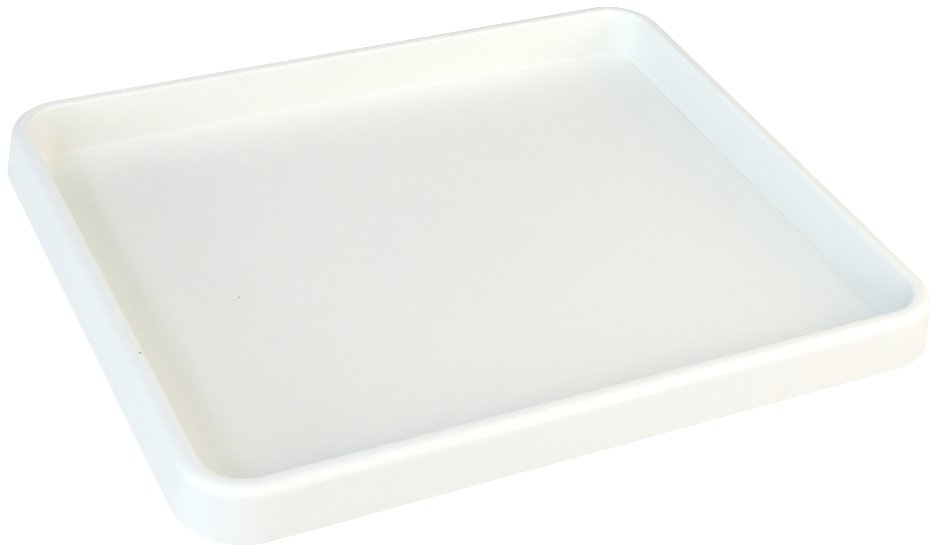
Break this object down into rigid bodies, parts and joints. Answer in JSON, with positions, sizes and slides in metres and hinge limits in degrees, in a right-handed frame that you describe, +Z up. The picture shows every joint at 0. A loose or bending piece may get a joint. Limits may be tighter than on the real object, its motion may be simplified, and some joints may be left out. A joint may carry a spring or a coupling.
{
  "type": "mortar hawk",
  "caption": "Rectangular lipped plastic tray that carries mortar or plaster in one hand, on a screw-off ribbed handle with a foam guard and a flat foot.",
  "frame": {"origin": "centre of the handle's foot, on the surface that the hawk stands on", "axes": "+Z up through the handle to the tray, X along the tray's long side, Y along its short side"},
  "size_m": [0.35, 0.29, 0.1537],
  "materials": {
    "tray_plastic": "satin moulded polyethylene, off-white",
    "brass": "turned, slightly dull",
    "cast_alloy": "die-cast, fine blasted skin",
    "zinc_steel": "bright zinc plating",
    "spring_steel": "dark spring steel",
    "guard_foam": "closed-cell foam, matt",
    "ferrule_steel": "brushed round the axis",
    "black_nylon": "fine moulded texture",
    "grip_rubber": "matt moulded rubber"
  },
  "bodies": {
    "handle": {"handle_core": "black_nylon", "threaded_insert": "brass", "grip_sleeve": "grip_rubber", "ferrule": "ferrule_steel", "end_cap": "black_nylon"},
    "guard": {"callus_guard": "guard_foam"},
    "tray_assembly": {"tray": "tray_plastic", "boss_inserts": "brass", "mounting_plate": "cast_alloy", "plate_screws": "zinc_steel", "screw_washers": "zinc_steel", "handle_bolt": "zinc_steel", "lock_washer": "spring_steel", "jam_nut": "zinc_steel"}
  },
  "joints": [
    {"name": "unscrew_turn", "type": "hinge", "parent": "handle", "child": "guard", "pos_m": [0, 0, 0.1], "axis": [0, 0, 1], "range_deg": [0, 8010]},
    {"name": "unscrew_lift", "type": "slide", "parent": "guard", "child": "tray_assembly", "axis": [0, 0, 1], "range_m": [0, 0.0334]}
  ],
  "couplings": [
    {"joint": "unscrew_lift", "follows": "unscrew_turn", "m_per_rad": 0.00023873}
  ]
}
